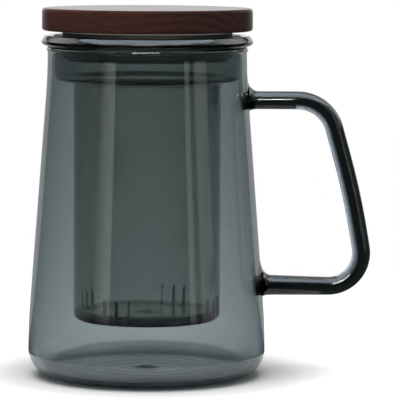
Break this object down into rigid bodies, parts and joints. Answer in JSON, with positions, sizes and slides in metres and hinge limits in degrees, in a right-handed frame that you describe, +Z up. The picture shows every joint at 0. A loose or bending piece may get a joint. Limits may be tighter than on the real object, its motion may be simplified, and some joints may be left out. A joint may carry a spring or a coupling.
{
  "type": "lidded tea mug with infuser",
  "caption": "Tapered glass tea mug with a glass rod handle, a drop-in slotted glass infuser hung on its rim, and a turned wooden plug lid with a silicone seal.",
  "frame": {"origin": "middle of the base on the mug's axis, on the surface that the mug stands on", "axes": "+Z up along the mug's axis, +X from the axis towards the handle"},
  "size_m": [0.1333, 0.0924, 0.143],
  "materials": {
    "smoked_glass": "clear smoke-grey borosilicate, fire polished",
    "dark_glass": "dark smoke-grey borosilicate rod, fire polished",
    "infuser_glass": "clear smoke-grey borosilicate with sawn slits",
    "seal_silicone": "moulded silicone, satin",
    "walnut": "turned walnut, satin lacquer"
  },
  "bodies": {
    "mug": {"mug_body": "smoked_glass", "handle": "dark_glass"},
    "infuser": {"infuser": "infuser_glass"},
    "seal": {"seal_ring": "seal_silicone"},
    "lid": {"lid": "walnut"}
  },
  "joints": [
    {"name": "infuser_lift", "type": "slide", "parent": "mug", "child": "infuser", "axis": [0, 0, 1], "range_m": [0, 0.12]},
    {"name": "lid_lift", "type": "slide", "parent": "infuser", "child": "seal", "axis": [0, 0, 1], "range_m": [0, 0.04]},
    {"name": "lid_turn", "type": "hinge", "parent": "seal", "child": "lid", "pos_m": [0, 0, 0.129], "axis": [0, 0, 1], "continuous": true}
  ]
}
